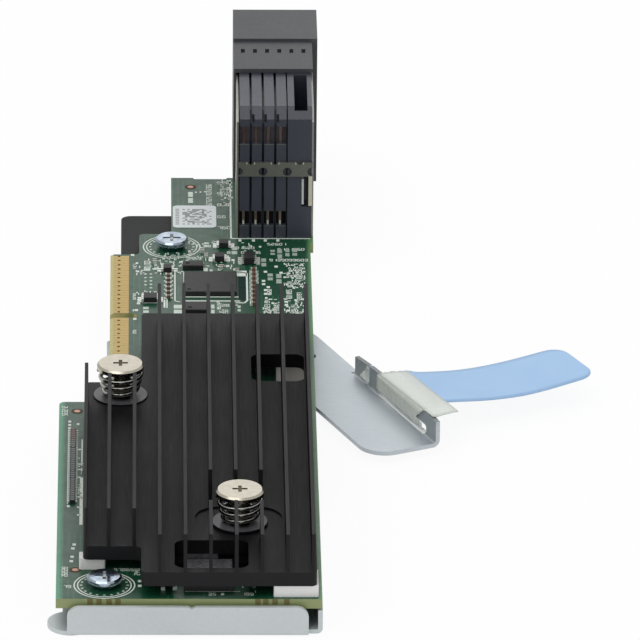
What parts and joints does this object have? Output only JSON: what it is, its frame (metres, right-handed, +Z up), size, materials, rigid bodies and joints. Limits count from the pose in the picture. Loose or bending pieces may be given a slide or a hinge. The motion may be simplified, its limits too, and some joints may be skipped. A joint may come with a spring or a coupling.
{
  "type": "mezzanine host bus adapter",
  "caption": "Long narrow circuit card on a folded base plate, with a finned heatsink, an edge connector, a tall backplane connector and a hinged ejector lever with a pull tab.",
  "frame": {"origin": "below the middle of the board's front edge, on the underside of the base plate", "axes": "+X across the card to the lever's side, +Y along the card from the front flange to the backplane connector, +Z up from the base plate through the board"},
  "size_m": [0.0861, 0.1795, 0.0299],
  "materials": {
    "plated_steel": "zinc-plated sheet steel",
    "lever_steel": "zinc-plated sheet steel",
    "black_plastic": "moulded, matte",
    "nickel": "nickel plated",
    "chromed_steel": "bright plated",
    "spring_steel": "bright spring wire",
    "solder_mask": "green solder mask on glass-epoxy laminate",
    "gold": "gold plated",
    "black_anodised": "black anodised",
    "white_foam": "closed-cell foam",
    "grey_foam": "thermal gap pad",
    "chip_package": "moulded epoxy",
    "capacitor_body": "ceramic",
    "label_paper": "white polyester label",
    "wafer_plastic": "moulded liquid-crystal polymer",
    "shroud_plastic": "moulded liquid-crystal polymer",
    "contact_copper": "plated copper alloy",
    "stiffener_metal": "nickel-plated strip",
    "white_nylon": "nylon",
    "clear_film": "clear polyester film",
    "blue_film": "light blue polyester film"
  },
  "bodies": {
    "card": {"base_plate": "plated_steel", "rear_guide_plate": "black_plastic", "front_standoff": "nickel", "circuit_board": "solder_mask", "edge_contacts_top": "gold", "edge_contacts_bottom": "gold", "board_screws": "chromed_steel", "heatsink": "black_anodised", "heatsink_screws": "nickel", "heatsink_springs": "spring_steel", "heatsink_nuts": "nickel", "front_right_pad": "white_foam", "front_left_pad": "white_foam", "rear_right_pad": "grey_foam", "controller_chip": "chip_package", "thermal_pad": "grey_foam", "memory_chips": "chip_package", "bridge_chip": "chip_package", "clock_chip": "chip_package", "flash_chip": "chip_package", "logic_chips": "chip_package", "regulator_chip": "chip_package", "ceramic_capacitors": "capacitor_body", "resistor_arrays": "chip_package", "label": "label_paper", "signal_wafer_1": "wafer_plastic", "signal_wafer_2": "wafer_plastic", "signal_wafer_3": "wafer_plastic", "signal_wafer_4": "wafer_plastic", "guide_block": "wafer_plastic", "contact_strips": "contact_copper", "stiffener_strip": "stiffener_metal", "side_shield_left": "stiffener_metal", "side_shield_right": "stiffener_metal", "connector_shroud": "shroud_plastic", "connector_tails": "stiffener_metal", "lever_rivet": "nickel", "lever_washer": "white_nylon", "lever_stop_pin": "nickel"},
    "lever": {"ejector_lever": "lever_steel", "tab_strap": "clear_film", "pull_tab": "blue_film"}
  },
  "joints": [
    {"name": "lever_pivot", "type": "hinge", "parent": "card", "child": "lever", "pos_m": [0.01574, 0.10401, 0.0016], "axis": [0, 0, 1], "range_deg": [-24.5, 0]}
  ]
}
